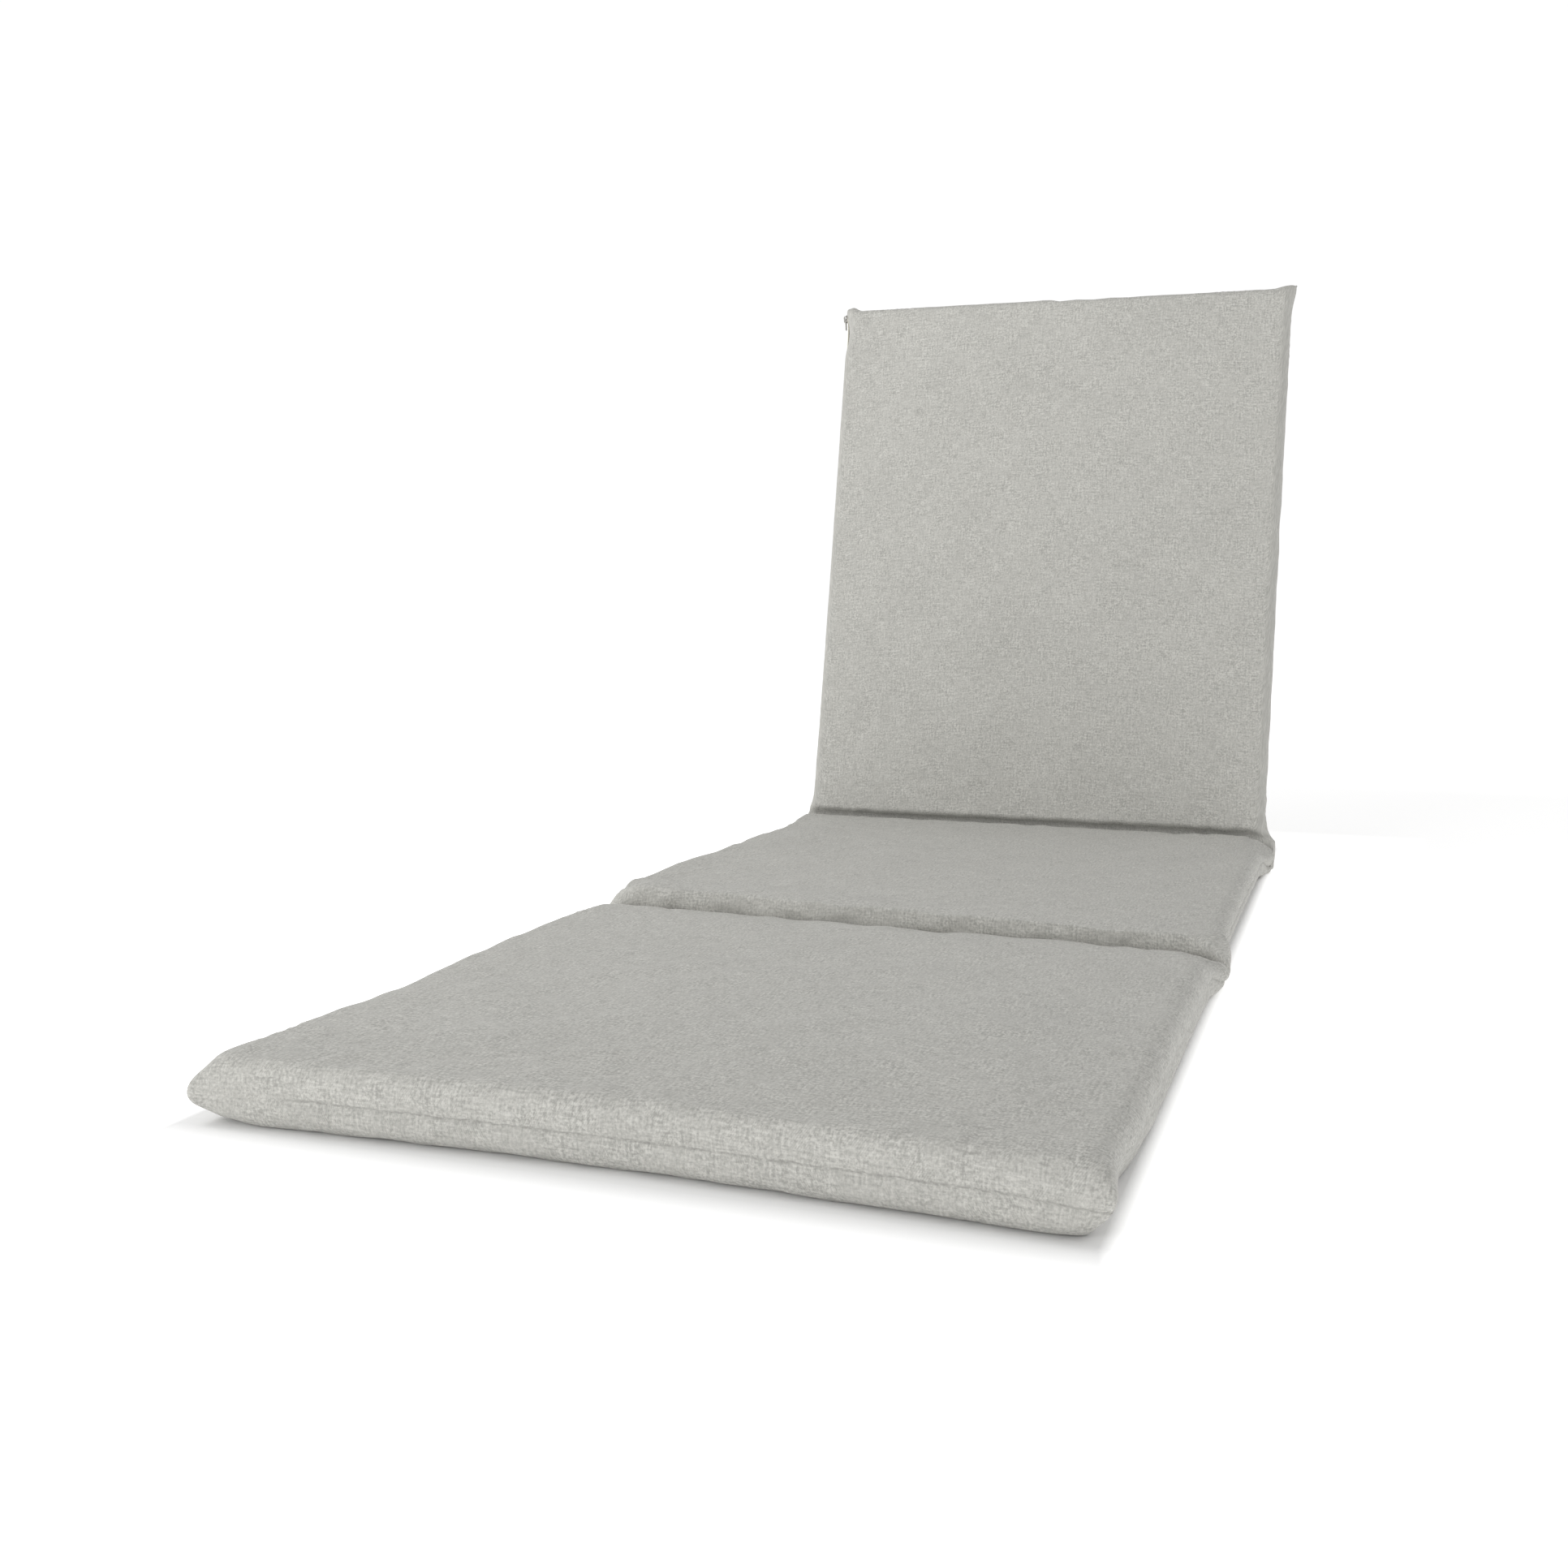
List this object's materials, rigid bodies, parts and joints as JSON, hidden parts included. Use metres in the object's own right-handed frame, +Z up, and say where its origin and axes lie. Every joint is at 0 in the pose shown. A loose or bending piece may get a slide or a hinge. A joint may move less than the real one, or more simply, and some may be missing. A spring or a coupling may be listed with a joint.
{
  "type": "sun lounger cushion",
  "caption": "Soft foam cushion for a sun lounger: foot, seat and back sections joined at stitched folds, back section raised, woven cover with corner ears and a side zip.",
  "frame": {"origin": "on the floor, at the centre of the footprint of the cushion with its back section raised", "axes": "+X across the cushion, to the right of someone who faces it from the foot end; +Y along it, from the foot end to the raised back; +Z up"},
  "size_m": [0.614, 1.4199, 0.7307],
  "materials": {
    "cover_fabric": "matt light warm grey melange weave",
    "zip_tape_cloth": "cream woven tape",
    "zip_teeth": "moulded coil, satin",
    "zip_metal": "plated zinc, slightly worn"
  },
  "bodies": {
    "root": {"cushion": "cover_fabric", "zip_tape": "zip_tape_cloth", "zip_chain": "zip_teeth", "zip_slider": "zip_metal", "zip_pull": "zip_metal"}
  },
  "joints": []
}
